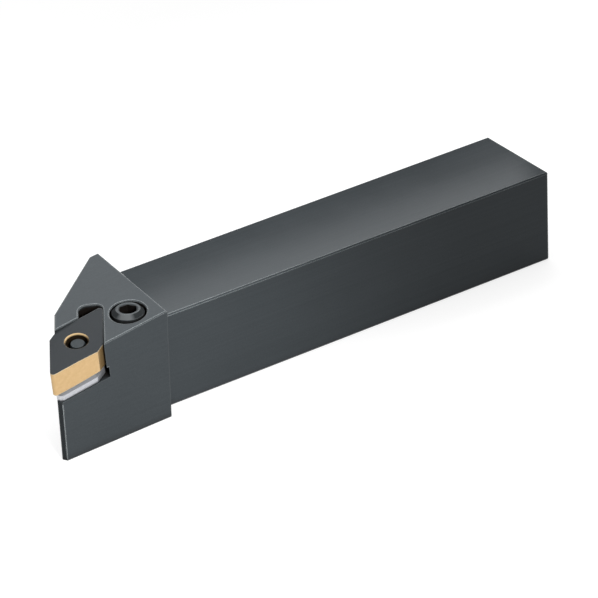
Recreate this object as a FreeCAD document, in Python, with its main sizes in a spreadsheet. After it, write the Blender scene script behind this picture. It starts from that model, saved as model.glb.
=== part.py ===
import FreeCAD, Part

import os

import Sketcher

# External turning tool holder for a 55 degree insert, held by a lever in the insert's bore.
# The origin is the middle of the straight shank's underside. +X runs from the head to the
# shank's rear end, +Y to the far side that sets the nose's distance, and +Z up.

Vector = FreeCAD.Vector

# Every driving size, in millimetres and degrees.
SIZES = {
    # square shank
    "shank_width": 25.0,
    "shank_height": 25.0,
    "shank_length": 117.0,
    "shank_chamfer": 0.4,
    # head, forged and milled in one piece with the shank
    "head_length": 33.0,
    "functional_width": 32.0,
    "head_rise": 2.63,
    "head_slope_along": 6.0,
    "head_slope_across": 4.5,
    "head_edge": 0.25,
    "shoulder_radius": 2.0,
    "far_flat": 2.45,
    "far_corner_behind": 12.05,
    "far_corner_across": 18.3,
    "flank_inset": 1.36,
    "flank_lead": 2.7,
    "flank_relief": 2.35,
    "front_corner_cut": 1.5,
    # seat of the insert, tilted from the shank
    "edge_lead": 3.0,
    "seat_rise": 7.0,
    "seat_lean": 6.0,
    "wall_clearance": 0.02,
    "slot_width": 5.8,
    "slot_beyond": 0.6,
    "slot_corner": 2.1,
    "foot_groove_height": 2.9,
    "foot_groove_depth": 0.5,
    # insert
    "point_angle": 55.0,
    "insert_edge": 15.504,
    "insert_thick": 6.35,
    "insert_bore": 5.16,
    "insert_mouth": 0.35,
    "nose_radius": 0.8,
    "blunt_cut": 1.9,
    "face_fall": 0.22,
    "face_land": 3.6,
    # shim under the insert
    "shim_thick": 2.6,
    "shim_side_inset": 0.05,
    "shim_front_inset": 0.6,
    "shim_nose": 1.3,
    "shim_chamfer": 1.1,
    "shim_blunt_cut": 2.1,
    "shim_hole": 7.5,
    # slotted sleeve that pins the shim
    "sleeve_wall": 0.8,
    "sleeve_length": 4.6,
    "sleeve_slot": 1.2,
    "sleeve_fit": 0.03,
    # lever and the hollow it rocks in
    "knee_depth": 6.2,
    "lever_lean": 1.5,
    "leg_diameter": 4.4,
    "leg_top_diameter": 3.2,
    "leg_top_shift": 0.15,
    "leg_top_cone": 1.5,
    "leg_below_top": 0.75,
    "arm_width": 4.2,
    "arm_height": 3.0,
    "knee_reach": 2.2,
    "knee_foot": 1.2,
    "knee_slope_end": 3.0,
    "knee_round": 1.7,
    "arm_tip_round": 2.05,
    "hollow_room": 0.3,
    "arm_swing_room": 0.9,
    # clamping screw
    "screw_reach": 13.16,
    "screw_swing": 7.5,
    "screw_diameter": 7.8,
    "screw_fit": 0.05,
    "screw_above_grip": 17.05,
    "screw_top_chamfer": 1.0,
    "grip_diameter": 4.8,
    "grip_room": 0.4,
    "grip_bite": 1.1,
    "screw_foot": 2.9,
    "key_size": 4.0,
    "key_depth": 3.6,
    "key_lead": 0.3,
    "foot_key_depth": 2.2,
    "counterbore_diameter": 8.8,
    "counterbore_depth": 5.5,
    # run of blanks and cuts past the metal they meet
    "over_run": 3.0,
}

doc = FreeCAD.newDocument("TurningToolHolder")
sheet = doc.addObject("Spreadsheet::Sheet", "Sizes")
for row, (name, value) in enumerate(SIZES.items(), start=1):
    sheet.set(f"A{row}", name)
    sheet.set(f"B{row}", str(value))
    sheet.setAlias(f"B{row}", name)
doc.recompute()


def size(text):
    """Turn words into cells: every size's name in the text becomes a reference to its cell."""
    words = []
    word = ""
    for letter in text + " ":
        if letter.isalnum() or letter == "_":
            word += letter
            continue
        words.append(f"Sizes.{word}" if word in SIZES else word)
        words.append(letter)
        word = ""
    return "".join(words).strip()


def number(text):
    """The present value of an expression in the sheet's words."""
    value = sheet.evalExpression(size(text))
    return float(getattr(value, "Value", value))


def bind(thing, prop, text):
    thing.setExpression(prop, size(text))


def place(at=("0", "0", "0"), turn=("0", "0", "0")):
    """A placement in words: a point, then yaw, pitch and roll in degrees."""
    point = f"create(<<vector>>; {at[0]}; {at[1]}; {at[2]})"
    rotation = f"create(<<rotation>>; {turn[0]}; {turn[1]}; {turn[2]})"
    return f"create(<<placement>>; {point}; {rotation})"


def frame_at(name, text):
    """A named frame of reference, such as the seat, that pieces and cuts are placed from."""
    frame = doc.addObject("App::Placement", name)
    bind(frame, "Placement", text)
    doc.recompute()
    return frame


def new_body(name, text=None):
    body = doc.addObject("PartDesign::Body", name)
    body.Label = name
    if text:
        bind(body, "Placement", text)
    return body


def new_sketch(body, name, role="XY_Plane", offset=None):
    sketch = body.newObject("Sketcher::SketchObject", name)
    plane = next(part for part in body.Origin.OriginFeatures if part.Role == role)
    sketch.AttachmentSupport = [(plane, "")]
    sketch.MapMode = "FlatFace"
    if offset:
        bind(sketch, "AttachmentOffset", offset)
    return sketch


def hold_point(sketch, index, end, words):
    """Fix one end of a sketch's line, or a circle's centre, at a point given in words."""
    for kind, text in zip(("DistanceX", "DistanceY"), words):
        constraint = sketch.addConstraint(Sketcher.Constraint(kind, -1, 1, index, end, number(text)))
        bind(sketch, f"Constraints[{constraint}]", text)


def polygon(sketch, points):
    """Add a closed outline, whose corners are pairs of words, to the sketch."""
    corners = [Vector(number(across), number(along), 0) for across, along in points]
    first = sketch.GeometryCount
    count = len(corners)
    for index, corner in enumerate(corners):
        sketch.addGeometry(Part.LineSegment(corner, corners[(index + 1) % count]), False)
    for index in range(count):
        after = first + (index + 1) % count
        sketch.addConstraint(Sketcher.Constraint("Coincident", first + index, 2, after, 1))
        hold_point(sketch, first + index, 1, points[index])


def circle(sketch, centre, radius):
    """Add a circle to the sketch."""
    middle = Vector(number(centre[0]), number(centre[1]), 0)
    index = sketch.addGeometry(Part.Circle(middle, Vector(0, 0, 1), number(radius)), False)
    hold_point(sketch, index, 3, centre)
    constraint = sketch.addConstraint(Sketcher.Constraint("Radius", index, number(radius)))
    bind(sketch, f"Constraints[{constraint}]", radius)


def feature(body, kind, name, profile=None, **values):
    """Add a PartDesign feature; text values are bound to the sheet, others are set."""
    made = body.newObject(f"PartDesign::{kind}", name)
    if profile is not None:
        made.Profile = profile
    for prop, value in values.items():
        if isinstance(value, str) and prop != "Type":
            bind(made, prop, value)
        else:
            setattr(made, prop, value)
    doc.recompute()
    return made


def edges_where(made, test):
    """The names of a feature's edges that lie, all along, where a test holds."""
    names = []
    for index, edge in enumerate(made.Shape.Edges, start=1):
        low, high = edge.ParameterRange
        points = [edge.valueAt(low + (high - low) * share) for share in (0.0, 0.25, 0.5, 0.75, 1.0)]
        if all(test(point) for point in points):
            names.append(f"Edge{index}")
    return names


def dress(body, kind, name, base, names, text):
    """Round or chamfer the named edges of a feature."""
    made = body.newObject(f"PartDesign::{kind}", name)
    made.Base = (base, names)
    bind(made, "Radius" if kind == "Fillet" else "Size", text)
    doc.recompute()
    return made


def near(one, other, slack=1e-4):
    return abs(one - other) < slack


# The insert's seat. Its frame stands at the insert's sharp corner on the upper face: x runs
# along the cutting edge, y across the insert to the far wall, and z out of the seat.
SHOULDER = "(-shank_length / 2)"
NOSE_X = "(-shank_length / 2 - head_length)"
NOSE_Y = "(shank_width / 2 - functional_width)"
HALF_POINT = "(point_angle / 2)"
NOSE_BACK = f"(nose_radius / sin{HALF_POINT})"
NOSE_TURN = "(edge_lead + point_angle / 2)"
NOSE_AT = (
    f"{NOSE_X} + nose_radius - {NOSE_BACK} * cos{NOSE_TURN}",
    f"{NOSE_Y} + nose_radius - {NOSE_BACK} * sin{NOSE_TURN}",
    "shank_height",
)
seat = frame_at("SeatFrame", place(NOSE_AT, ("edge_lead", "-seat_rise", "seat_lean")))
BORE_ALONG = "(insert_edge / 2 * (1 + cos(point_angle)))"
BORE_ACROSS = "(insert_edge / 2 * sin(point_angle))"
SEAT_DEPTH = "(insert_thick + shim_thick)"

# The knee of the lever, below the bore, with x towards the clamping screw's grip.
frame_at(
    "KneeFrame",
    "SeatFrame.Placement * "
    + place((BORE_ALONG, BORE_ACROSS, f"-{SEAT_DEPTH} - knee_depth"), ("-screw_swing", "0", "0")),
)

# The screw stands upright over the arm's line, with its groove level with the arm's end.
ARM_REACH = "(screw_reach - screw_diameter / 2 + grip_bite)"
frame_at("GripFrame", "KneeFrame.Placement * " + place(("screw_reach", "0", "0")))
frame_at("ArmEndFrame", "KneeFrame.Placement * " + place((f"{ARM_REACH} - grip_bite / 2", "0", "0")))
GRIP_AT = (
    "(GripFrame.Placement.Base.x / 1mm)",
    "(GripFrame.Placement.Base.y / 1mm)",
    "(ArmEndFrame.Placement.Base.z / 1mm)",
)


def in_seat(at=("0", "0", "0"), turn=("0", "0", "0")):
    return "SeatFrame.Placement * " + place(at, turn)


def rhombus(side_inset, front_inset, blunt):
    """The outline of the insert or shim in the seat's frame, with both blunt corners cut."""
    lean_x = "cos(point_angle)"
    lean_y = "sin(point_angle)"
    length = f"(insert_edge - 2 * {front_inset} / {lean_y})"
    width = f"(insert_edge - 2 * {side_inset} / {lean_y})"
    start_x = f"({front_inset} + {side_inset} * {lean_x}) / {lean_y}"
    return [
        (start_x, side_inset),
        (f"{start_x} + {length} - {blunt}", side_inset),
        (f"{start_x} + {length} + {blunt} * {lean_x}", f"{side_inset} + {blunt} * {lean_y}"),
        (f"{start_x} + {length} + {width} * {lean_x}", f"{side_inset} + {width} * {lean_y}"),
        (f"{start_x} + {width} * {lean_x} + {blunt}", f"{side_inset} + {width} * {lean_y}"),
        (f"{start_x} + ({width} - {blunt}) * {lean_x}", f"{side_inset} + ({width} - {blunt}) * {lean_y}"),
    ]


def sharp_corners(made, outline):
    """The two upright edges at the acute corners of a rhombus."""
    names = []
    for words in (outline[0], outline[3]):
        across, along = [number(word) for word in words]
        names += edges_where(made, lambda p: near(p.x, across) and near(p.y, along))
    return names


# Holder: one steel piece, square shank and head.
holder = new_body("holder")

section = new_sketch(holder, "ShankSection", "YZ_Plane", place(("0", "0", SHOULDER)))
polygon(section, [
    ("-shank_width / 2", "0"),
    ("shank_width / 2", "0"),
    ("shank_width / 2", "shank_height"),
    ("-shank_width / 2", "shank_height"),
])
shank = feature(holder, "Pad", "Shank", section, Length="shank_length")
head_end = edges_where(shank, lambda p: near(p.x, number(SHOULDER)))
outer_edges = [name for name in edges_where(shank, lambda p: True) if name not in head_end]
dress(holder, "Chamfer", "ShankEdges", shank, outer_edges, "shank_chamfer")


def head_outline(height):
    """The head seen from above, cut at a height; the flank leans out as it rises."""
    turn = "(edge_lead + point_angle)"
    slope = "tan(flank_lead)"
    inset = f"(flank_inset - ({height}) * tan(flank_relief))"
    far = (f"({NOSE_X} + far_corner_behind)", f"({NOSE_Y} + far_corner_across)")
    run = (
        f"((far_corner_across - {inset} - far_corner_behind * {slope})"
        f" / (sin{turn} - {slope} * cos{turn}))"
    )
    corner = (f"({far[0]} - {run} * cos{turn})", f"({far[1]} - {run} * sin{turn})")
    return [
        (SHOULDER, f"{NOSE_Y} + {inset} + head_length * {slope}"),
        (SHOULDER, "shank_width / 2"),
        (f"{SHOULDER} - far_flat", "shank_width / 2"),
        far,
        (f"{corner[0]} + front_corner_cut * cos{turn}", f"{corner[1]} + front_corner_cut * sin{turn}"),
        (f"{corner[0]} + front_corner_cut * cos(flank_lead)",
         f"{corner[1]} + front_corner_cut * sin(flank_lead)"),
    ]


SHOULDER_RISE = "(head_rise + head_length * tan(head_slope_along))"
HEAD_BLANK = f"(shank_height + {SHOULDER_RISE} + over_run)"
low = new_sketch(holder, "HeadFoot")
polygon(low, head_outline("0"))
high = new_sketch(holder, "HeadCrown", offset=place(("0", "0", HEAD_BLANK)))
polygon(high, head_outline(HEAD_BLANK))
feature(holder, "AdditiveLoft", "Head", low, Sections=[high], Ruled=True)

# The head's top is milled to a plane that falls towards the nose.
TOP_AT = (NOSE_X, "0", "shank_height + head_rise")
TOP_TURN = ("0", "-head_slope_along", "head_slope_across")
crown = new_sketch(holder, "HeadTopPlane", offset=place(TOP_AT, TOP_TURN))
polygon(crown, [
    ("-functional_width", "-functional_width"),
    ("head_length + over_run", "-functional_width"),
    ("head_length + over_run", "functional_width"),
    ("-functional_width", "functional_width"),
])
feature(holder, "Pocket", "HeadTop", crown, Length="shank_height", Reversed=True)

# The pocket: two walls, an open front and side, and a relief slot at the deep corner.
FAR_WALL = "(insert_edge * sin(point_angle) + wall_clearance)"


def rear_wall(offset, run):
    """A point at a run along the rear wall from the insert's blunt corner, moved off the wall."""
    return (
        f"insert_edge + ({run}) * cos(point_angle) + ({offset}) * sin(point_angle)",
        f"({run}) * sin(point_angle) - ({offset}) * cos(point_angle)",
    )


SLOT_END = "(insert_edge + slot_beyond)"
SLOT_SIDE = "(wall_clearance - slot_width)"
SLOT_MOUTH = f"(({FAR_WALL} + {SLOT_SIDE} * cos(point_angle)) / sin(point_angle))"
FLOOR = f"(-{SEAT_DEPTH})"
pocket_outline = new_sketch(holder, "PocketOutline", offset=in_seat(("0", "0", FLOOR)))
polygon(pocket_outline, [
    ("-insert_edge", "-insert_edge"),
    rear_wall("wall_clearance", "-insert_edge / sin(point_angle)"),
    rear_wall("wall_clearance", SLOT_END),
    rear_wall(SLOT_SIDE, SLOT_END),
    (rear_wall(SLOT_SIDE, SLOT_MOUTH)[0], FAR_WALL),
    ("-insert_edge", FAR_WALL),
])
pocket = feature(holder, "Pocket", "InsertPocket", pocket_outline, Length="shank_height", Reversed=True)


def from_seat(point):
    return seat.Placement.inverse().multVec(point)


slot_edges = []
for side in ("wall_clearance", SLOT_SIDE):
    corner = [number(word) for word in rear_wall(side, SLOT_END)]
    slot_edges += edges_where(pocket, lambda p: near(from_seat(p).x, corner[0])
                              and near(from_seat(p).y, corner[1]))
dress(holder, "Fillet", "SlotCorners", pocket, slot_edges, "slot_corner")

# A groove along the foot of both walls clears the lower edges of the insert and the shim.
groove_outline = new_sketch(holder, "FootGrooveOutline", offset=in_seat(("0", "0", FLOOR)))
GROOVE = "(wall_clearance + foot_groove_depth)"
polygon(groove_outline, [
    ("-insert_edge", "-insert_edge"),
    rear_wall(GROOVE, "-insert_edge / sin(point_angle)"),
    rear_wall(GROOVE, "insert_edge - slot_corner"),
    rear_wall(f"{SLOT_SIDE} + slot_corner", "insert_edge - slot_corner"),
    (rear_wall(f"{SLOT_SIDE} + slot_corner", SLOT_MOUTH)[0], f"{FAR_WALL} + foot_groove_depth"),
    ("-insert_edge", f"{FAR_WALL} + foot_groove_depth"),
])
feature(holder, "Pocket", "FootGroove", groove_outline, Length="foot_groove_height", Reversed=True)

# The lever's hollow: a round bore down from the seat and a channel across to the screw.
HOLLOW = "(shim_hole / 2)"
ARM_FOOT = "(arm_height / 2 + hollow_room)"
bore_outline = new_sketch(holder, "LeverBoreOutline", offset=in_seat(("0", "0", FLOOR)))
circle(bore_outline, (BORE_ALONG, BORE_ACROSS), HOLLOW)
feature(holder, "Pocket", "LeverBore", bore_outline, Length="knee_depth + knee_reach + hollow_room")
channel_outline = new_sketch(holder, "ChannelOutline",
                             offset="KneeFrame.Placement * " + place(("0", "0", f"-{ARM_FOOT}")))
polygon(channel_outline, [
    ("0", "-arm_width / 2 - hollow_room"),
    ("screw_reach", "-arm_width / 2 - hollow_room"),
    ("screw_reach", "arm_width / 2 + hollow_room"),
    ("0", "arm_width / 2 + hollow_room"),
])
feature(holder, "Pocket", "LeverChannel", channel_outline,
        Length=f"{ARM_FOOT} + arm_height / 2 + arm_swing_room", Reversed=True)

# The screw's hole: plain counterbore from the top, then the tapped bore down to the underside.
screw_hole = new_sketch(holder, "ScrewHoleOutline", offset=place((GRIP_AT[0], GRIP_AT[1], "0")))
circle(screw_hole, ("0", "0"), "screw_diameter / 2 + screw_fit")
feature(holder, "Pocket", "ScrewHole", screw_hole, Length=HEAD_BLANK, Reversed=True)
COUNTERBORE_FLOOR = f"({GRIP_AT[2]} + screw_above_grip - counterbore_depth)"
mouth = new_sketch(holder, "CounterboreOutline",
                   offset=place((GRIP_AT[0], GRIP_AT[1], COUNTERBORE_FLOOR)))
circle(mouth, ("0", "0"), "counterbore_diameter / 2")
counterbored = feature(holder, "Pocket", "Counterbore", mouth, Length="shank_height", Reversed=True)

# The cutter leaves a radius where the shoulder meets the shank's top and near side. It takes up
# to three quarters of the near side's step, which is narrowest at the underside.
def at_foot(p):
    """On the shoulder, where the shank's top, near side or the eased edge between meets it."""
    on_top = near(p.z, number("shank_height"))
    on_side = near(p.y, number("-shank_width / 2"))
    on_eased = near(p.z - p.y, number("shank_height + shank_width / 2 - shank_chamfer"))
    return near(p.x, number(SHOULDER)) and (on_top or on_side or on_eased)


NEAR_STEP = f"(-shank_width / 2 - ({head_outline('0')[0][1]}))"
rounded = dress(holder, "Fillet", "ShoulderFoot", counterbored,
                edges_where(counterbored, at_foot), f"min(shoulder_radius; {NEAR_STEP} * 0.75)")

# Every edge of the head's top face is eased.
top_frame = FreeCAD.Placement(
    Vector(*[number(word) for word in TOP_AT]),
    FreeCAD.Rotation(*[number(word) for word in TOP_TURN]),
)
on_top = lambda p: near(top_frame.inverse().multVec(p).z, 0)
dress(holder, "Chamfer", "HeadEdges", rounded, edges_where(rounded, on_top), "head_edge")

# Insert: rhombic, double sided, with a plain bore; both faces fall towards the blunt corners.
insert = new_body("insert", in_seat())
insert_outline = new_sketch(insert, "InsertOutline", offset=place(("0", "0", "-insert_thick")))
INSERT_RHOMBUS = rhombus("0", "0", "blunt_cut")
polygon(insert_outline, INSERT_RHOMBUS)
blank = feature(insert, "Pad", "InsertBlank", insert_outline, Length="insert_thick")
dress(insert, "Fillet", "InsertNoses", blank, sharp_corners(blank, INSERT_RHOMBUS), "nose_radius")

fall_profile = new_sketch(
    insert, "FaceFallProfile",
    offset=place((BORE_ALONG, BORE_ACROSS, "-insert_thick / 2"), ("point_angle / 2 + 90", "0", "90")),
)
BLUNT_REACH = "(insert_edge * sin(point_angle / 2) - blunt_cut * sin(point_angle / 2))"
for side in ("", "-"):
    for face in ("", "-"):
        rise = f"{face}(insert_thick / 2)"
        polygon(fall_profile, [
            (f"{side}face_land", rise),
            (f"{side}(2 * {BLUNT_REACH} - face_land)", f"{face}(insert_thick / 2 - 2 * face_fall)"),
            (f"{side}(2 * {BLUNT_REACH} - face_land)", f"{face}insert_thick"),
            (f"{side}face_land", f"{face}insert_thick"),
        ])
feature(insert, "Pocket", "FaceFalls", fall_profile, Length="2 * insert_edge", Midplane=True)

insert_hole = new_sketch(insert, "InsertBoreOutline", offset=place(("0", "0", "over_run")))
circle(insert_hole, (BORE_ALONG, BORE_ACROSS), "insert_bore / 2")
insert_bored = feature(insert, "Pocket", "InsertBore", insert_hole, Length="insert_thick + 2 * over_run")


def on_bore(radius, levels):
    """A test for the round edges of a bore at the given levels."""
    middle = Vector(number(BORE_ALONG), number(BORE_ACROSS), 0)
    reach = number(radius)
    heights = [number(level) for level in levels]
    return lambda p: (near((Vector(p.x, p.y, 0) - middle).Length, reach)
                      and any(near(p.z, height) for height in heights))


dress(insert, "Chamfer", "InsertBoreMouths", insert_bored,
      edges_where(insert_bored, on_bore("insert_bore / 2", ("0", "-insert_thick"))), "insert_mouth")

# Shim: hard plate of the insert's shape, chamfered round its upper edge.
shim = new_body("shim", in_seat(("0", "0", "-insert_thick")))
shim_outline = new_sketch(shim, "ShimOutline", offset=place(("0", "0", "-shim_thick")))
SHIM_RHOMBUS = rhombus("shim_side_inset", "shim_front_inset", "shim_blunt_cut")
polygon(shim_outline, SHIM_RHOMBUS)
shim_blank = feature(shim, "Pad", "ShimBlank", shim_outline, Length="shim_thick")
shim_nosed = dress(shim, "Fillet", "ShimNoses", shim_blank,
                   sharp_corners(shim_blank, SHIM_RHOMBUS), "shim_nose")
shim_upper = edges_where(shim_nosed, lambda p: near(p.z, 0))
dress(shim, "Chamfer", "ShimUpperEdge", shim_nosed, shim_upper, "shim_chamfer")
shim_bore = new_sketch(shim, "ShimBoreOutline", offset=place(("0", "0", "over_run")))
circle(shim_bore, (BORE_ALONG, BORE_ACROSS), HOLLOW)
feature(shim, "Pocket", "ShimBore", shim_bore, Length="shim_thick + 2 * over_run")

# Shim pin: a slotted spring sleeve through the shim into the lever's bore.
SLEEVE_TOP = "(-insert_thick - hollow_room)"
shim_pin = new_body("shim_pin", in_seat((BORE_ALONG, BORE_ACROSS, SLEEVE_TOP)))
sleeve_outline = new_sketch(shim_pin, "SleeveOutline", offset=place(("0", "0", "-sleeve_length")))
circle(sleeve_outline, ("0", "0"), f"{HOLLOW} - sleeve_fit")
circle(sleeve_outline, ("0", "0"), f"{HOLLOW} - sleeve_fit - sleeve_wall")
feature(shim_pin, "Pad", "Sleeve", sleeve_outline, Length="sleeve_length")
slit_outline = new_sketch(shim_pin, "SlitOutline", offset=place(("0", "0", "over_run")))
polygon(slit_outline, [("0", "-sleeve_slot / 2"), ("shim_hole", "-sleeve_slot / 2"),
                       ("shim_hole", "sleeve_slot / 2"), ("0", "sleeve_slot / 2")])
feature(shim_pin, "Pocket", "Slit", slit_outline, Length="sleeve_length + 2 * over_run")

# Clamping lever: a bent arm. Its knee rocks in the hollow, its upright leg stands in the
# insert's bore, and the end of its arm lies in the screw's groove.
clamp_lever = new_body("clamp_lever", "KneeFrame.Placement")
arm_profile = new_sketch(clamp_lever, "ArmProfile", "XZ_Plane")
polygon(arm_profile, [
    ("-knee_reach", "-knee_reach"),
    ("knee_foot", "-knee_reach"),
    ("knee_slope_end", "-arm_height / 2"),
    (ARM_REACH, "-arm_height / 2"),
    (ARM_REACH, "arm_height / 2"),
    ("-knee_reach", "arm_height / 2"),
])
arm = feature(clamp_lever, "Pad", "Arm", arm_profile, Length="arm_width", Midplane=True)
heel = edges_where(arm, lambda p: near(p.x, -number("knee_reach")) and near(p.z, -number("knee_reach")))
heeled = dress(clamp_lever, "Fillet", "Heel", arm, heel, "knee_round")
tip = [
    name for turn in (-1, 1)
    for name in edges_where(heeled, lambda p: near(p.x, number(ARM_REACH))
                            and near(p.y, turn * number("arm_width / 2")))
]
dress(clamp_lever, "Fillet", "ArmTip", heeled, tip, "arm_tip_round")

LEG_TOP = f"({SEAT_DEPTH} + knee_depth - leg_below_top)"
LEG_LEAN = ("0", "lever_lean", "0")
LEG_SHOULDER = f"({LEG_TOP} / cos(lever_lean) - leg_top_cone)"
leg_outline = new_sketch(clamp_lever, "LegOutline", offset=place(turn=LEG_LEAN))
circle(leg_outline, ("0", "0"), "leg_diameter / 2")
feature(clamp_lever, "Pad", "Leg", leg_outline, Length=LEG_SHOULDER)
cone_foot = new_sketch(clamp_lever, "LegConeFoot",
                       offset=place(turn=LEG_LEAN) + " * " + place(("0", "0", LEG_SHOULDER)))
circle(cone_foot, ("0", "0"), "leg_diameter / 2")
cone_top = new_sketch(clamp_lever, "LegConeTop", offset=place(("leg_top_shift", "0", LEG_TOP)))
circle(cone_top, ("0", "0"), "leg_top_diameter / 2")
feature(clamp_lever, "AdditiveLoft", "LegTop", cone_foot, Sections=[cone_top], Ruled=True)

# Clamping screw: plain collar above, groove for the lever's arm and a foot below, with a
# hexagon socket in each end so that it turns from above or from below.
lever_screw = new_body("lever_screw", place(GRIP_AT))
GROOVE_HALF = "(arm_height / 2 + grip_room)"
FOOT = f"({GROOVE_HALF} + screw_foot)"
RADIUS = "(screw_diameter / 2)"
turned = new_sketch(lever_screw, "TurnedProfile", "XZ_Plane")
polygon(turned, [
    ("0", f"-{FOOT}"),
    (f"{RADIUS} - screw_top_chamfer", f"-{FOOT}"),
    (RADIUS, f"-{FOOT} + screw_top_chamfer"),
    (RADIUS, f"-{GROOVE_HALF}"),
    ("grip_diameter / 2", f"-{GROOVE_HALF}"),
    ("grip_diameter / 2", GROOVE_HALF),
    (RADIUS, GROOVE_HALF),
    (RADIUS, "screw_above_grip - screw_top_chamfer"),
    (f"{RADIUS} - screw_top_chamfer", "screw_above_grip"),
    ("0", "screw_above_grip"),
])
feature(lever_screw, "Revolution", "Shaft", turned, ReferenceAxis=(turned, ["V_Axis"]), Angle=360)


def hexagon(sketch):
    """A hexagon across the key's flats."""
    reach = "key_size / sqrt(3)"
    polygon(sketch, [(f"{reach} * cos({turn})", f"{reach} * sin({turn})") for turn in range(0, 360, 60)])


upper_key = new_sketch(lever_screw, "UpperKey", offset=place(("0", "0", "screw_above_grip")))
hexagon(upper_key)
feature(lever_screw, "Pocket", "UpperSocket", upper_key, Length="key_depth")
lead_foot = new_sketch(lever_screw, "KeyLeadFoot",
                       offset=place(("0", "0", "screw_above_grip - key_lead")))
circle(lead_foot, ("0", "0"), "key_size / 2")
lead_mouth = new_sketch(lever_screw, "KeyLeadMouth", offset=place(("0", "0", "screw_above_grip")))
circle(lead_mouth, ("0", "0"), "key_size / sqrt(3) + key_lead / 2")
feature(lever_screw, "SubtractiveLoft", "UpperLead", lead_foot, Sections=[lead_mouth], Ruled=True)
lower_key = new_sketch(lever_screw, "LowerKey", offset=place(("0", "0", f"-{FOOT}")))
hexagon(lower_key)
feature(lever_screw, "Pocket", "LowerSocket", lower_key, Length="foot_key_depth", Reversed=True)

# Check every object, then write each piece.
doc.recompute()
for thing in doc.Objects:
    if "Invalid" in thing.State or "Error" in thing.State:
        raise RuntimeError(f"{thing.Name} failed: {thing.State}")

os.makedirs("parts", exist_ok=True)
for piece in (holder, insert, shim, shim_pin, clamp_lever, lever_screw):
    shape = piece.Shape
    if shape.isNull() or not shape.isValid() or len(shape.Solids) != 1:
        raise RuntimeError(f"{piece.Label} isn't one valid solid")
    shape.exportStep(f"parts/{piece.Label}.step")
    print(piece.Label, round(shape.Volume, 2), "mm3")
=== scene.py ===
import math

import bpy
from mathutils import Matrix, Vector

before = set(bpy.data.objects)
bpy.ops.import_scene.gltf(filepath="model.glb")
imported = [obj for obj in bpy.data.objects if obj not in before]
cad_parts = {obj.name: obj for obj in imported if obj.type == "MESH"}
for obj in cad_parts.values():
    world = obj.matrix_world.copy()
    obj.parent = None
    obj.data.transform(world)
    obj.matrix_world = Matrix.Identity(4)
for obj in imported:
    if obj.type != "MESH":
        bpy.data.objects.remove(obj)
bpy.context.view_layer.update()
scene = bpy.context.scene


# ---------------------------------------------------------------- holder: shank and head
# One bar of alloy steel: the shank is ground square on its four long sides and the head is
# milled. It is hardened, blackened and oiled, so it is a dark blue grey. Along most of its
# corners thin light lines are painted on: a painted highlight that also stands for the black
# rubbed through to the steel. The front corner's facet and the recesses carry painted shade.

STEEL_BLACKENED = (0.0420, 0.0490, 0.0537, 1.0)
STEEL_BLACKENED_LIGHT = (0.0565, 0.0655, 0.0718, 1.0)
# Painted highlight along the edges, that also stands for wear.
STEEL_EDGE_HIGHLIGHT_AND_WEAR = (0.36, 0.39, 0.40, 1.0)
# Painted shade on the front corner's facet.
FRONT_CORNER_PAINTED_SHADE = (0.020, 0.024, 0.027, 1.0)
# Painted shade in the recesses.
RECESS_PAINTED_SHADE = (0.012, 0.010, 0.009, 1.0)

# Places on the holder in metres, and the directions that some of its faces look in. A pair
# is where a mask begins and where it ends: along X, off a level, from an axis, or in how
# squarely a face looks the named way.
UPRIGHT = (0.0, 0.0, 1.0)
SHOULDER_X = (-0.0588, -0.0583)
SHANK_X = (-0.0570, -0.0560)
FRONT_X = (-0.0860, -0.0850)
FRONT_CORNER_NORMAL = (-0.862, -0.505, -0.044)
FRONT_CORNER_FACING = (0.93, 0.98)
HEAD_TOP_POINT = (-0.0915, 0.0, 0.02763)
HEAD_TOP_NORMAL = (-0.104, -0.078, 0.991)
BELOW_HEAD_TOP = (-0.0010, -0.0005)
SEAT_POINT = (-0.07948, -0.01165, 0.01831)
SEAT_NORMAL = (-0.11557, -0.11073, 0.98711)
SEAT_EDGE_BAND = (0.0005, 0.0007)
UPRIGHT_EDGE_RISE = (0.15, 0.35)
SLOT_MIDDLE = (-0.0718, -0.0046, 0.0)
SLOT_REACH = (0.0042, 0.0046)
CUTTER_CENTRE = (-0.045, -0.235, 0.0)


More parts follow.
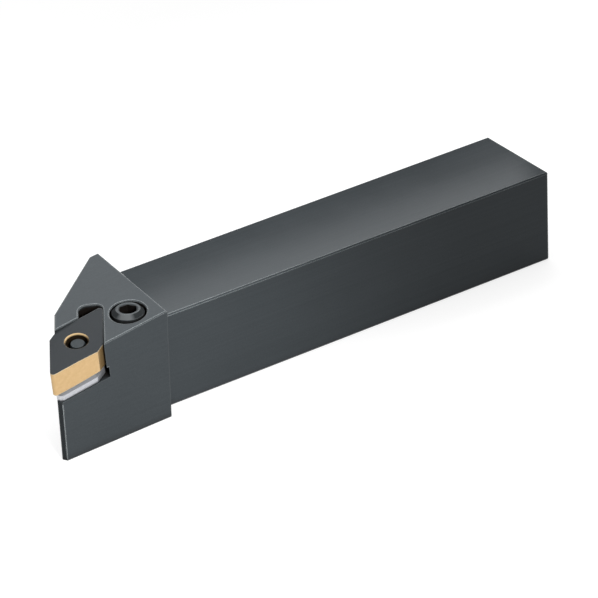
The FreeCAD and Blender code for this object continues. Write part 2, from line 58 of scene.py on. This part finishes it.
class Finish:
    """A material that is built up node by node. Its steps take numbers, colours and sockets, and
    give a socket back. Every pattern reads the piece's own Object coordinates."""

    def __init__(self, name):
        self.material = bpy.data.materials.new(name)
        self.material.use_nodes = True
        self.tree = self.material.node_tree
        self.tree.nodes.clear()
        self.shader = self.add("BsdfPrincipled")
        self.feed(self.add("OutputMaterial").inputs[0], self.shader.outputs[0])
        coords = self.add("TexCoord")
        self.at = coords.outputs["Object"]
        self.normal = coords.outputs["Normal"]

    def add(self, kind, **settings):
        """A node. Each setting is a property of the node, or else the value of an input."""
        node = self.tree.nodes.new("ShaderNode" + kind)
        for key, value in settings.items():
            if hasattr(node, key):
                setattr(node, key, value)
            else:
                node.inputs[key.replace("_", " ")].default_value = value
        return node

    def feed(self, socket, value):
        """Links the input to value where that is a socket, and else sets it."""
        if isinstance(value, bpy.types.NodeSocket):
            self.tree.links.new(value, socket)
        else:
            socket.default_value = value

    def combine(self, operation, *parts):
        """One value from two or more, such as their sum with ADD or the largest with MAXIMUM."""
        result = parts[0]
        for part in parts[1:]:
            pair = self.add("Math", operation=operation)
            self.feed(pair.inputs[0], result)
            self.feed(pair.inputs[1], part)
            result = pair.outputs[0]
        return result

    def unsigned(self, value):
        """The value without its sign."""
        plain = self.add("Math", operation="ABSOLUTE")
        self.feed(plain.inputs[0], value)
        return plain.outputs[0]

    def vector(self, operation, first, second=(0.0, 0.0, 0.0)):
        """What a vector operation gives: a number for DOT_PRODUCT and LENGTH, else a vector."""
        node = self.add("VectorMath", operation=operation)
        self.feed(node.inputs[0], first)
        self.feed(node.inputs[1], second)
        return node.outputs["Value" if operation in ("DOT_PRODUCT", "LENGTH") else "Vector"]

    def coordinate(self, vector, letter):
        """The X, Y or Z of a vector."""
        split = self.add("SeparateXYZ")
        self.feed(split.inputs[0], vector)
        return split.outputs[letter]

    def facing(self, direction):
        """1 on faces that look along direction, 0 on those square to it."""
        return self.vector("DOT_PRODUCT", self.normal, direction)

    def over(self, point, normal):
        """Height over the plane through point that looks along normal."""
        return self.vector("DOT_PRODUCT", self.vector("SUBTRACT", self.at, point), normal)

    def from_axis(self, point, axis):
        """Distance from the line through point along axis."""
        offset = self.vector("SUBTRACT", self.at, point)
        return self.vector("LENGTH", self.vector("CROSS_PRODUCT", offset, axis))

    def ramp(self, value, low, high, out_low=0.0, out_high=1.0):
        """value between low and high, drawn onto out_low to out_high."""
        span = self.add("MapRange", From_Min=low, From_Max=high, To_Min=out_low, To_Max=out_high)
        self.feed(span.inputs["Value"], value)
        return span.outputs[0]

    def placed(self, **settings):
        """The piece's coordinates, moved or scaled to suit a pattern."""
        placing = self.add("Mapping", **settings)
        self.feed(placing.inputs["Vector"], self.at)
        return placing.outputs[0]

    def noise(self, per_metre, detail=3.0, rough=0.6):
        """Noise whose grains are as many per metre along x, y and z as per_metre says, so a
        small first number draws it out into lines along the bar."""
        grains = self.add("TexNoise", Scale=1.0, Detail=detail, Roughness=rough)
        self.feed(grains.inputs["Vector"], self.placed(Scale=per_metre))
        return grains.outputs[0]

    def tool_marks(self, centre, **settings):
        """The rings that a turning tool or cutter leaves: a wave of the distance from centre."""
        wave = self.add("TexWave", wave_type="RINGS", **settings)
        self.feed(wave.inputs["Vector"], self.placed(Location=[-c for c in centre]))
        return wave.outputs[1]

    def vary(self, noise, low, high):
        """Noise, most of which lies between 0.3 and 0.7, drawn onto low to high."""
        return self.ramp(noise, 0.3, 0.7, low, high)

    def blend(self, share, first, second):
        """Colour first where share is 0 and second where it is 1."""
        mix = self.add("Mix", data_type="RGBA")
        for index, value in ((0, share), (6, first), (7, second)):
            self.feed(mix.inputs[index], value)
        return mix.outputs[2]

    def edges(self, radius, low, high):
        """0 on open faces and 1 on the edges: how far the normal of an edge rounded by radius
        turns away from the face's own, between low and high. Also gives the rounded normal."""
        rounded = self.add("Bevel", samples=6, Radius=radius).outputs[0]
        agreement = self.vector("DOT_PRODUCT", rounded, self.add("NewGeometry").outputs["Normal"])
        return self.ramp(agreement, 1.0 - low, 1.0 - high), rounded

    def crevices(self, closed, free):
        """1 where a recess leaves less than closed of the nearest 4 mm open, and 0 where more
        than free of it is."""
        nearby = self.add("AmbientOcclusion", samples=8, only_local=False, Distance=0.004)
        return self.ramp(nearby.outputs["AO"], closed, free, 1.0, 0.0)

    def relief(self, height, strength, depth, normal=None):
        """Fine relief that is depth metres deep, on the rounded normal where one is given."""
        bump = self.add("Bump", Strength=strength, Distance=depth)
        self.feed(bump.inputs["Height"], height)
        if normal:
            self.feed(bump.inputs["Normal"], normal)
        self.look(Normal=bump.outputs[0])

    def look(self, **values):
        """Feeds the shader's inputs, by name."""
        for key, value in values.items():
            self.feed(self.shader.inputs[key.replace("_", " ")], value)

    def dress(self, name):
        """Gives the finish to the piece of that name."""
        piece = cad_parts[name]
        piece.data.materials.clear()
        piece.data.materials.append(self.material)


steel = Finish("blackened_ground_steel")
grinding = steel.noise((14, 1900, 1900), detail=4.0, rough=0.65)
clouding = steel.noise((38, 46, 46), rough=0.55)
speckle = steel.noise((2400, 2400, 2400), detail=2.0, rough=0.7)
grit = steel.noise((5200, 5200, 5200), detail=2.0, rough=0.5)
tone = steel.combine("ADD", steel.vary(grinding, 0.0, 0.3), steel.vary(clouding, 0.0, 0.3),
                     steel.vary(speckle, 0.0, 0.4))
flat_skin = steel.blend(tone, STEEL_BLACKENED, STEEL_BLACKENED_LIGHT)
# Painted shade: faces that look along the front corner's normal are painted darker.
on_front_corner = steel.ramp(steel.facing(FRONT_CORNER_NORMAL), *FRONT_CORNER_FACING)
skin = steel.blend(on_front_corner, flat_skin, FRONT_CORNER_PAINTED_SHADE)

# The painted highlight lines are patchy. The head has next to none round the insert's seat,
# nor on its upright edges, apart from those of its front corner.
edge, edge_normal = steel.edges(radius=0.00045, low=0.008, high=0.09)
x = steel.coordinate(steel.at, "X")
patchy = steel.ramp(clouding, 0.25, 0.6, 0.55, 0.95)
from_seat = steel.unsigned(steel.over(SEAT_POINT, SEAT_NORMAL))
off_seat = steel.combine("MAXIMUM", steel.ramp(from_seat, *SEAT_EDGE_BAND, 0.15, 1.0),
                         steel.ramp(x, *SHOULDER_X))
edge_rise = steel.unsigned(steel.coordinate(edge_normal, "Z"))
not_upright = steel.combine("MAXIMUM", steel.ramp(edge_rise, *UPRIGHT_EDGE_RISE, 0.1, 1.0),
                            steel.ramp(x, *FRONT_X, 1.0, 0.0), steel.ramp(x, *SHANK_X))
edge_highlight_and_wear = steel.combine("MULTIPLY", edge, patchy, off_seat, not_upright)
highlit_and_rubbed = steel.blend(edge_highlight_and_wear, skin, STEEL_EDGE_HIGHLIGHT_AND_WEAR)

# Painted shade darkens the recesses, and most of all the slot behind the insert.
sunk = steel.ramp(steel.over(HEAD_TOP_POINT, HEAD_TOP_NORMAL), *BELOW_HEAD_TOP, 1.0, 0.0)
near_slot = steel.ramp(steel.from_axis(SLOT_MIDDLE, UPRIGHT), *SLOT_REACH, 0.9, 0.0)
in_slot = steel.combine("MULTIPLY", sunk, near_slot)
painted_recess_shade = steel.combine("ADD", steel.crevices(closed=0.22, free=0.70), in_slot)
steel.look(Base_Color=steel.blend(painted_recess_shade, highlit_and_rubbed, RECESS_PAINTED_SHADE), Metallic=0.2,
           Specular_IOR_Level=0.1,
           Roughness=steel.combine("ADD", steel.vary(grinding, 0.11, 0.14),
                                   steel.vary(clouding, 0.0, 0.04)))

# The face mill left faint arcs on the head, and the grinding wheel fine lines along the bar.
arcs = steel.tool_marks(CUTTER_CENTRE, rings_direction="SPHERICAL", Scale=620.0,
                        Distortion=1.5, Detail=2.0, Detail_Scale=0.4)
milling = steel.combine("MULTIPLY", arcs, steel.ramp(x, *SHOULDER_X, 1.0, 0.0))
steel.relief(steel.combine("ADD", grinding, steel.vary(grit, 0.0, 0.35),
                           steel.ramp(milling, 0.0, 1.0, 0.0, 0.25)),
             strength=0.35, depth=0.00002, normal=edge_normal)
steel.dress("holder")


# ---------------------------------------------------------------- shim under the insert
# A hard plate that the insert lies on, pressed and sintered from tungsten carbide and
# ground. It is left uncoated, so it is the lightest metal on the tool, with a fine matt
# grain. Its chamfer round the upper edge lies in the insert's shade, and is painted in the light
# tone all over as painted light against that shade. Its edges carry a painted highlight.

CARBIDE = (0.49, 0.50, 0.53, 1.0)
CARBIDE_LIGHT = (0.60, 0.61, 0.64, 1.0)
# Painted highlight along the edges.
CARBIDE_EDGE_HIGHLIGHT = (0.85, 0.86, 0.88, 1.0)
SHIM_CHAMFER_FACING = (0.15, 0.35)

carbide = Finish("bare_ground_carbide")
grain = carbide.noise((2600, 2600, 2600))
ground = carbide.blend(carbide.vary(grain, 0.0, 1.0), CARBIDE, CARBIDE_LIGHT)
# Painted light: the chamfer, in the insert's shade, is given the light tone all over.
on_chamfer = carbide.ramp(carbide.facing(SEAT_NORMAL), *SHIM_CHAMFER_FACING)
sides = carbide.blend(on_chamfer, ground, CARBIDE_LIGHT)
# Painted highlight: the edge mask lightens every edge.
edge, edge_normal = carbide.edges(radius=0.00015, low=0.02, high=0.2)
carbide.look(Base_Color=carbide.blend(edge, sides, CARBIDE_EDGE_HIGHLIGHT), Metallic=0.75,
             Roughness=carbide.vary(grain, 0.34, 0.48))
carbide.relief(grain, strength=0.3, depth=0.00001, normal=edge_normal)
carbide.dress("shim")


# ---------------------------------------------------------------- slotted sleeve in the shim
# Rolled from spring steel strip with a gap along it, and tapped into the seat's bore, where
# its spring holds it. It pins the shim. Its skin is the blue grey of tempering.

TEMPERED_BLUE = (0.16, 0.18, 0.21, 1.0)
TEMPERED_GREY = (0.24, 0.23, 0.22, 1.0)

spring = Finish("tempered_spring_steel")
rolling = spring.noise((900, 900, 6000))
tempering = spring.noise((300, 300, 300), detail=2.0, rough=0.5)
blue_grey = spring.blend(spring.vary(tempering, 0.0, 1.0), TEMPERED_BLUE, TEMPERED_GREY)
spring.look(Base_Color=blue_grey, Metallic=0.85, Roughness=spring.vary(rolling, 0.28, 0.42))
spring.relief(rolling, strength=0.3, depth=0.00001)
spring.dress("shim_pin")


# ---------------------------------------------------------------- indexable insert
# Pressed and sintered tungsten carbide, coated: the flanks keep the gold top layer, and the
# two faces are blasted back to the dark layer under it. The edges are honed, and a pale painted
# highlight runs along them. The cut-off corner's facet is painted a browner gold as painted
# shade. The bore is painted dark brown as painted shade, but for the mouth of its far wall,
# which is painted a lighter gold as painted light.

GOLD = (0.64, 0.44, 0.225, 1.0)
GOLD_DEEP = (0.57, 0.375, 0.175, 1.0)
# Painted highlight along the gold edges.
GOLD_EDGE_HIGHLIGHT = (0.95, 0.82, 0.55, 1.0)
# Painted shade on the cut-off corner's facet.
GOLD_PAINTED_SHADE = (0.36, 0.235, 0.105, 1.0)
# Painted light and shade in the bore: a lighter gold on its far wall's mouth, dark brown
# elsewhere.
MOUTH_GOLD_LIT = (0.70, 0.50, 0.26, 1.0)
BORE_PAINTED_SHADE = (0.035, 0.024, 0.014, 1.0)
FACE_DARK = (0.0195, 0.0235, 0.027, 1.0)
FACE_DARK_LIGHT = (0.025, 0.030, 0.0345, 1.0)
# Painted highlight along the dark faces' edges.
FACE_EDGE_HIGHLIGHT = (0.13, 0.135, 0.135, 1.0)
CORNER_CUT_NORMAL = (0.515, -0.856, -0.036)
CORNER_CUT_FACING = (0.94, 0.98)
FLAT_FACING = (0.55, 0.85)
BORE_MIDDLE = (-0.08015, -0.01229, 0.02401)
BORE_REACH = (0.00293, 0.00298)
MOUTH_LEVEL = (0.00278, 0.00302)
FAR_WALL_NORMAL = (-0.40, -0.92, 0.0)
FAR_WALL_FACING = (0.05, 0.5)

coated = Finish("coated_carbide_gold_and_black")
pressing = coated.noise((3800, 3800, 3800))
droplets = coated.noise((900, 900, 900))
# Painted highlight: the edge mask lightens every edge.
edge, edge_normal = coated.edges(radius=0.00040, low=0.010, high=0.10)
gold = coated.blend(coated.ramp(droplets, 0.35, 0.7, 0.0, 0.7), GOLD, GOLD_DEEP)
# Painted shade: the cut-off corner's facet is painted a browner gold.
on_corner_cut = coated.ramp(coated.unsigned(coated.facing(CORNER_CUT_NORMAL)),
                            *CORNER_CUT_FACING)
gold_with_corner_shade = coated.blend(on_corner_cut, gold, GOLD_PAINTED_SHADE)
black = coated.blend(coated.vary(pressing, 0.0, 1.0), FACE_DARK, FACE_DARK_LIGHT)
on_face = coated.ramp(coated.unsigned(coated.facing(SEAT_NORMAL)), *FLAT_FACING)
outside = coated.blend(on_face, coated.blend(edge, gold_with_corner_shade, GOLD_EDGE_HIGHLIGHT),
                       coated.blend(edge, black, FACE_EDGE_HIGHLIGHT))
# Painted light and shade in the bore: light gold on the far wall's mouth, dark brown elsewhere.
on_far_wall = coated.ramp(coated.facing(FAR_WALL_NORMAL), *FAR_WALL_FACING)
from_middle = coated.unsigned(coated.over(BORE_MIDDLE, SEAT_NORMAL))
bore = coated.blend(coated.ramp(from_middle, *MOUTH_LEVEL, 1.0, 0.0),
                    coated.blend(on_far_wall, BORE_PAINTED_SHADE, MOUTH_GOLD_LIT), BORE_PAINTED_SHADE)
in_bore = coated.ramp(coated.from_axis(BORE_MIDDLE, SEAT_NORMAL), *BORE_REACH, 1.0, 0.0)
coated.look(Base_Color=coated.blend(in_bore, outside, bore),
            Metallic=coated.ramp(on_face, 0.0, 1.0, 0.55, 0.05), Specular_IOR_Level=0.15,
            Roughness=coated.combine("ADD", coated.vary(pressing, 0.32, 0.42),
                                     coated.ramp(on_face, 0.0, 1.0, 0.0, 0.06)))
coated.relief(pressing, strength=0.35, depth=0.00001, normal=edge_normal)
coated.dress("insert")


# ---------------------------------------------------------------- clamping lever
# A bent lever, investment cast from steel, hardened and tumbled. Its round leg stands up in
# the insert's bore, its knee rests in the holder, and its arm lies in the screw's groove.
# Only the flat top of the leg shows. Its edges are painted lighter, a painted highlight that also
# stands for rubbing.

CAST_GREY = (0.027, 0.034, 0.038, 1.0)
CAST_GREY_LIGHT = (0.036, 0.045, 0.050, 1.0)
# Painted highlight along the edges, that also stands for rubbing.
CAST_EDGE_HIGHLIGHT_AND_WEAR = (0.13, 0.145, 0.15, 1.0)

tumbled = Finish("tumbled_cast_steel")
peening = tumbled.noise((1500, 1500, 1500), rough=0.55)
casting = tumbled.noise((420, 420, 420), detail=2.0, rough=0.5)
cast_skin = tumbled.blend(tumbled.vary(casting, 0.0, 1.0), CAST_GREY, CAST_GREY_LIGHT)
# Painted highlight: the edge mask lightens every edge.
edge, edge_normal = tumbled.edges(radius=0.00018, low=0.02, high=0.2)
tumbled.look(Base_Color=tumbled.blend(edge, cast_skin, CAST_EDGE_HIGHLIGHT_AND_WEAR), Metallic=0.3,
             Specular_IOR_Level=0.2, Roughness=tumbled.vary(peening, 0.34, 0.5))
tumbled.relief(peening, strength=0.4, depth=0.00002, normal=edge_normal)
tumbled.dress("clamp_lever")


# ---------------------------------------------------------------- clamping screw
# Turned from steel bar, with a hexagon socket broached in its top, and blackened. The turning
# tool left fine rings on its end face. Its edges are painted lighter, a painted highlight that
# also stands for wear, and the socket and recesses are painted near black as painted shade.
# Its chamfer has a painted highlight towards the front and painted shade at the sides.

SCREW_GREY = (0.044, 0.051, 0.055, 1.0)
SCREW_GREY_LIGHT = (0.058, 0.067, 0.072, 1.0)
SCREW_RINGS = (0.085, 0.094, 0.098, 1.0)
# Painted highlight along the edges, that also stands for wear.
SCREW_EDGE_HIGHLIGHT_AND_WEAR = (0.20, 0.215, 0.225, 1.0)
# Painted shade and painted highlight on the chamfer.
CHAMFER_PAINTED_SHADE = (0.030, 0.034, 0.036, 1.0)
CHAMFER_LIT = (0.150, 0.161, 0.166, 1.0)
CHAMFER_LIT_NORMAL = (-0.473, -0.525, 0.707)
CHAMFER_LIT_FACING = (0.895, 0.975)
SCREW_AXIS = (-0.065719, -0.011993, 0.0)
CHAMFER_REACH = (0.00285, 0.00295)
SOCKET_REACH = (0.00240, 0.00246)
SOCKET_LEVEL = (0.029943, 0.030193)

turned = Finish("turned_blackened_screw_steel")
rings = turned.tool_marks(SCREW_AXIS, rings_direction="Z", Scale=1400.0, Distortion=0.4)
smut = turned.noise((1200, 1200, 1200))
blackening = turned.blend(turned.vary(smut, 0.0, 1.0), SCREW_GREY, SCREW_GREY_LIGHT)
ringed = turned.blend(turned.ramp(rings, 0.0, 1.0, 0.0, 0.35), blackening, SCREW_RINGS)
from_screw_axis = turned.from_axis(SCREW_AXIS, UPRIGHT)
# Painted highlight and painted shade on the chamfer, by the way it faces.
chamfer_light = turned.ramp(turned.facing(CHAMFER_LIT_NORMAL), *CHAMFER_LIT_FACING)
chamfered = turned.blend(turned.ramp(from_screw_axis, *CHAMFER_REACH), ringed,
                         turned.blend(chamfer_light, CHAMFER_PAINTED_SHADE, CHAMFER_LIT))
# Painted highlight: the edge mask lightens every edge.
edge, edge_normal = turned.edges(radius=0.00034, low=0.01, high=0.12)
highlit_and_worn = turned.blend(edge, chamfered, SCREW_EDGE_HIGHLIGHT_AND_WEAR)
below_mouth = turned.ramp(turned.coordinate(turned.at, "Z"), *SOCKET_LEVEL, 1.0, 0.0)
near_axis = turned.ramp(from_screw_axis, *SOCKET_REACH, 1.0, 0.0)
in_socket = turned.combine("MULTIPLY", below_mouth, near_axis)
# Painted shade: the socket and the recesses are painted near black.
painted_recess_shade = turned.combine("ADD", turned.crevices(closed=0.15, free=0.75), in_socket)
turned.look(Base_Color=turned.blend(painted_recess_shade, highlit_and_worn, RECESS_PAINTED_SHADE), Metallic=0.35,
            Specular_IOR_Level=0.2, Roughness=turned.vary(smut, 0.32, 0.44))
turned.relief(rings, strength=0.3, depth=0.00001, normal=edge_normal)
turned.dress("lever_screw")


# ---------------------------------------------------------------- floor, lamps and camera
# A plain white floor, a wide soft lamp overhead, a small one by the head and a strip over the
# shank, so the tops are lighter than the near side and the near side darkens towards the rear
# end. The floor keeps the tool's shadow.

FLOOR_HALF = 3.0
FLOOR_DROP = 0.00002
FLOOR_GREY = (0.40, 0.40, 0.40, 1.0)
FLOOR_GLOW = 0.78
WORLD_WHITE = (1.0, 1.0, 1.0, 1.0)
WORLD_STRENGTH = 0.22

floor_mesh = bpy.data.meshes.new("floor")
floor_mesh.from_pydata([(-FLOOR_HALF, -FLOOR_HALF, 0), (FLOOR_HALF, -FLOOR_HALF, 0),
                        (FLOOR_HALF, FLOOR_HALF, 0), (-FLOOR_HALF, FLOOR_HALF, 0)],
                       [], [(0, 1, 2, 3)])
floor = bpy.data.objects.new("floor", floor_mesh)
floor.location.z = -FLOOR_DROP
scene.collection.objects.link(floor)

# The floor lights the tool as plain grey, and glows only where the camera, a gloss or a
# clear body looks straight at it, so it looks white there.
pale = bpy.data.materials.new("pale_floor")
pale.use_nodes = True
tree = pale.node_tree
tree.nodes.clear()
path = tree.nodes.new("ShaderNodeLightPath")
looked_at = path.outputs["Is Camera Ray"]
for ray in ("Is Glossy Ray", "Is Transmission Ray"):
    either = tree.nodes.new("ShaderNodeMath")
    either.operation = "ADD"
    either.use_clamp = True
    tree.links.new(looked_at, either.inputs[0])
    tree.links.new(path.outputs[ray], either.inputs[1])
    looked_at = either.outputs[0]
brightness = tree.nodes.new("ShaderNodeMath")
brightness.operation = "MULTIPLY"
tree.links.new(looked_at, brightness.inputs[0])
brightness.inputs[1].default_value = FLOOR_GLOW
glow = tree.nodes.new("ShaderNodeEmission")
tree.links.new(brightness.outputs[0], glow.inputs["Strength"])
matt = tree.nodes.new("ShaderNodeBsdfDiffuse")
matt.inputs["Color"].default_value = FLOOR_GREY
both = tree.nodes.new("ShaderNodeAddShader")
tree.links.new(matt.outputs[0], both.inputs[0])
tree.links.new(glow.outputs[0], both.inputs[1])
tree.links.new(both.outputs[0], tree.nodes.new("ShaderNodeOutputMaterial").inputs[0])
floor_mesh.materials.append(pale)

world = bpy.data.worlds.new("studio")
scene.world = world
world.use_nodes = True
sky = world.node_tree.nodes["Background"]
sky.inputs["Color"].default_value = WORLD_WHITE
sky.inputs["Strength"].default_value = WORLD_STRENGTH


def hang_lamp(name, light, place, aim):
    """Puts light at place, facing aim, out of the camera's own sight."""
    lamp = bpy.data.objects.new(name, light)
    toward = (Vector(aim) - Vector(place)).normalized()
    turn = toward.to_track_quat("-Z", "Y").to_matrix().to_4x4()
    lamp.matrix_world = Matrix.Translation(place) @ turn
    lamp.visible_camera = False
    scene.collection.objects.link(lamp)
    return lamp


def soft_box(name, width, depth, watts):
    """An oblong lamp of width by depth metres."""
    light = bpy.data.lights.new(name, "AREA")
    light.shape = "RECTANGLE"
    light.size, light.size_y = width, depth
    light.energy = watts
    return light


hang_lamp("overhead_lamp", soft_box("overhead_lamp", width=0.7, depth=0.5, watts=2.1),
          place=(0.02, 0.05, 0.75), aim=(0.0, 0.0, 0.0))
head_light = bpy.data.lights.new("head_lamp", "SPOT")
head_light.energy = 3.7
head_light.shadow_soft_size = 0.03
head_light.spot_size = math.radians(34)
head_light.spot_blend = 0.8
head_lamp = hang_lamp("head_lamp", head_light, place=(-0.12, -0.27, 0.16),
                      aim=(-0.075, -0.012, 0.012))
# So small a lamp would stand as a white patch in the head's polished top, seen from behind.
head_lamp.visible_glossy = False
hang_lamp("strip_lamp", soft_box("strip_lamp", width=0.215, depth=0.095, watts=0.147),
          place=(0.023, 0.062, 0.1245), aim=(0.023, 0.0, 0.0695))

# The camera stands where a lens fitted to the photograph's edges puts it.
EYE = (-0.46118856, -0.68830640, 0.47764847)
RIGHT = (0.82212762, -0.56776486, -0.04182388)
UP = (0.31203702, 0.38794634, 0.86725460)
BACK = (-0.47617126, -0.72604456, 0.49610506)
SENSOR_WIDTH = 36.0
FOCAL_LENGTH_PX = 3843.793
PICTURE_WIDTH_PX = 598

camera_data = bpy.data.cameras.new("camera")
camera_data.sensor_width = SENSOR_WIDTH
camera_data.lens = SENSOR_WIDTH * FOCAL_LENGTH_PX / PICTURE_WIDTH_PX
camera_data.clip_start, camera_data.clip_end = 0.05, 20.0
camera = bpy.data.objects.new("camera", camera_data)
camera.matrix_world = Matrix((*zip(RIGHT, UP, BACK, EYE), (0.0, 0.0, 0.0, 1.0)))
scene.collection.objects.link(camera)
scene.camera = camera
scene.view_settings.view_transform = "Standard"
